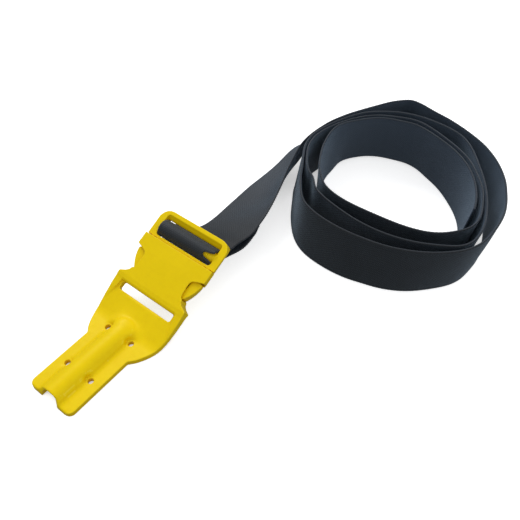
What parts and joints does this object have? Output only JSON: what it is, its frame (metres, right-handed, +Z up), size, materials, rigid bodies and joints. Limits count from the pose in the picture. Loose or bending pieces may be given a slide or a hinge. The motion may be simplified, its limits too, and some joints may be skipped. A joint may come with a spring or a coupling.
{
  "type": "dive weight belt",
  "caption": "Coiled 50 mm webbing belt threaded on a side-release buckle whose socket carries a webbing slot and a bent anchor tail with screw holes and a half-round channel.",
  "frame": {"origin": "centre of the four-hole pattern, on the tail's underside", "axes": "+X across the buckle, +Y from the anchor tail towards the webbing end, +Z up from the surface the tail lies on"},
  "size_m": [0.2068, 0.3844, 0.0504],
  "materials": {
    "yellow_plastic": "satin injection-moulded",
    "black_webbing": "fine woven nylon"
  },
  "bodies": {
    "socket": {"socket_body": "yellow_plastic"},
    "male_half": {"male_frame": "yellow_plastic"},
    "left_arm": {"left_release_arm": "yellow_plastic"},
    "right_arm": {"right_release_arm": "yellow_plastic"},
    "webbing": {"webbing_belt": "black_webbing"}
  },
  "joints": [
    {"name": "release_slide", "type": "slide", "parent": "socket", "child": "male_half", "axis": [0, 0.9085, 0.4179], "range_m": [0, 0.045], "deforming": ["left_release_arm", "right_release_arm"]},
    {"name": "left_arm_squeeze", "type": "hinge", "parent": "male_half", "child": "left_arm", "pos_m": [-0.0242, 0.08433, 0.02887], "axis": [0, -0.4179, 0.9085], "range_deg": [0, 17]},
    {"name": "right_arm_squeeze", "type": "hinge", "parent": "male_half", "child": "right_arm", "pos_m": [0.0242, 0.08433, 0.02887], "axis": [0, 0.4179, -0.9085], "range_deg": [0, 17]},
    {"name": "strap_pivot", "type": "hinge", "parent": "male_half", "child": "webbing", "pos_m": [0, 0.09488, 0.03394], "axis": [1, 0, 0], "range_deg": [0, 12]}
  ]
}
